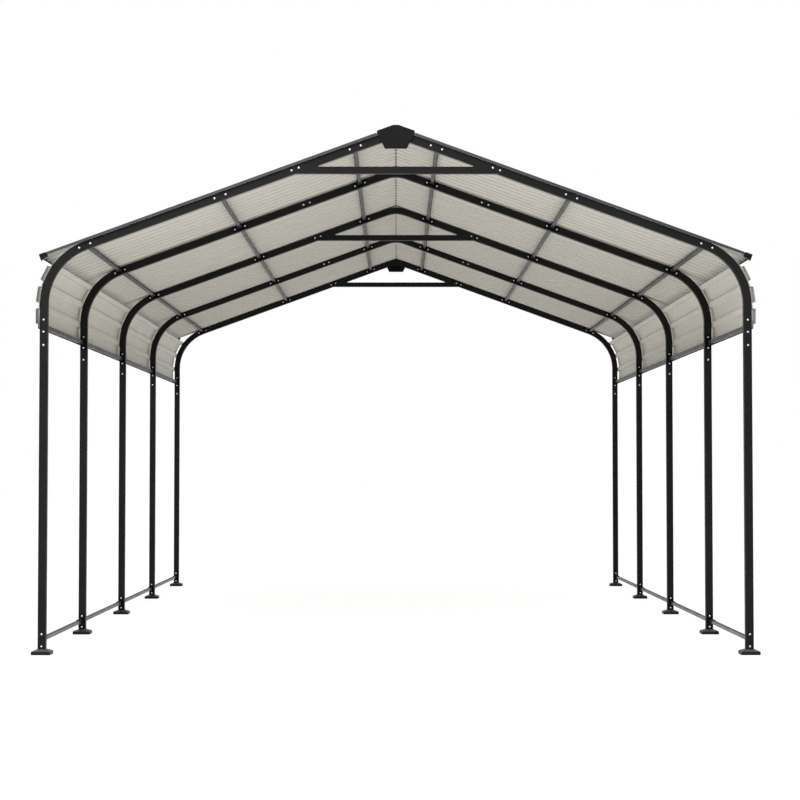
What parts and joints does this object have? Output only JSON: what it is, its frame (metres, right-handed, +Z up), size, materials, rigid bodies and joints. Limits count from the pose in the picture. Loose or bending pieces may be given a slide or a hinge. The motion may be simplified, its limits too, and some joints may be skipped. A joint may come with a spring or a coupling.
{
  "type": "carport",
  "caption": "Free-standing open carport: bent square-tube frames with a ribbed sheet gable roof, tie bars, rails, purlins and corner side sheets.",
  "frame": {"origin": "middle of the footprint, on the floor under the shoes", "axes": "+Z up, +Y towards the rear along the ridge, +X towards the right seen from the front"},
  "size_m": [3.656, 6.176, 2.6751],
  "materials": {
    "black_frame": "satin black powder coat",
    "shoe": "satin black powder coat",
    "grey_rail": "satin grey coat",
    "end_bracket": "satin black powder coat",
    "sheet": "matt cream backing coat inside, charcoal coat outside",
    "cap": "satin black coat",
    "edge_trim": "satin grey coat",
    "moulded_cap": "matt black moulding",
    "zinc_bolt": "bright zinc-plated steel"
  },
  "bodies": {
    "root": {"left_shoes": "shoe", "right_shoes": "shoe", "left_legs": "black_frame", "right_legs": "black_frame", "left_corner_bends": "black_frame", "right_corner_bends": "black_frame", "left_rafters": "black_frame", "right_rafters": "black_frame", "peaks": "black_frame", "front_tie": "black_frame", "middle_tie": "black_frame", "rear_tie": "black_frame", "left_base_rails": "grey_rail", "right_base_rails": "grey_rail", "left_side_rails": "grey_rail", "right_side_rails": "grey_rail", "left_eave_purlins": "grey_rail", "right_eave_purlins": "grey_rail", "left_mid_purlins": "grey_rail", "right_mid_purlins": "grey_rail", "left_ridge_purlins": "grey_rail", "right_ridge_purlins": "grey_rail", "left_end_brackets": "end_bracket", "right_end_brackets": "end_bracket", "left_side_sheets": "sheet", "right_side_sheets": "sheet", "left_sheet_strips": "cap", "right_sheet_strips": "cap", "left_roof_sheets": "sheet", "right_roof_sheets": "sheet", "ridge_cap": "cap", "front_ridge_end_cap": "moulded_cap", "rear_ridge_end_cap": "moulded_cap", "front_edge_trims": "edge_trim", "rear_edge_trims": "edge_trim", "left_eave_trim": "cap", "right_eave_trim": "cap", "front_eave_end_caps": "moulded_cap", "rear_eave_end_caps": "moulded_cap"}
  },
  "joints": []
}
